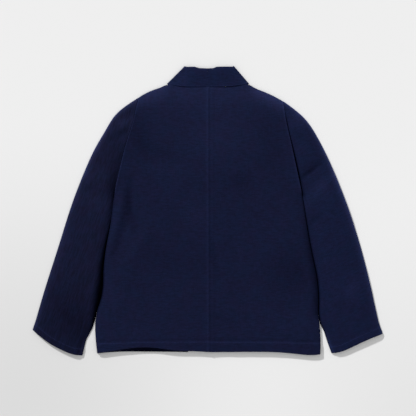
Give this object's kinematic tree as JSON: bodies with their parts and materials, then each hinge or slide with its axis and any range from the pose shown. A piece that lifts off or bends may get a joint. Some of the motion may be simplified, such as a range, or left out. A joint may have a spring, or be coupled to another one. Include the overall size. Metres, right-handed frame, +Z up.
{
  "type": "noragi jacket",
  "caption": "Hip-length open jacket of thick indigo cotton with a band collar and wide straight sleeves, lying flat with its back up.",
  "frame": {"origin": "on the surface it lies on, under the middle of its bounding box", "axes": "+X to the right as the back is seen, which is the wearer's right; +Y from the hem to the collar; +Z up from the surface"},
  "size_m": [0.9272, 0.7649, 0.0099],
  "materials": {
    "back_left": "matt woven cotton with a slight nap",
    "back_right": "matt woven cotton with a slight nap",
    "front_left": "matt woven cotton with a slight nap",
    "front_right": "matt woven cotton with a slight nap",
    "sleeve_left": "matt woven cotton with a slight nap",
    "sleeve_right": "matt woven cotton with a slight nap",
    "collar_left": "matt woven cotton with a slight nap",
    "collar_right": "matt woven cotton with a slight nap"
  },
  "bodies": {
    "root": {"back_left": "back_left", "back_right": "back_right", "front_left": "front_left", "front_right": "front_right", "sleeve_left": "sleeve_left", "sleeve_right": "sleeve_right", "collar_left": "collar_left", "collar_right": "collar_right"}
  },
  "joints": []
}
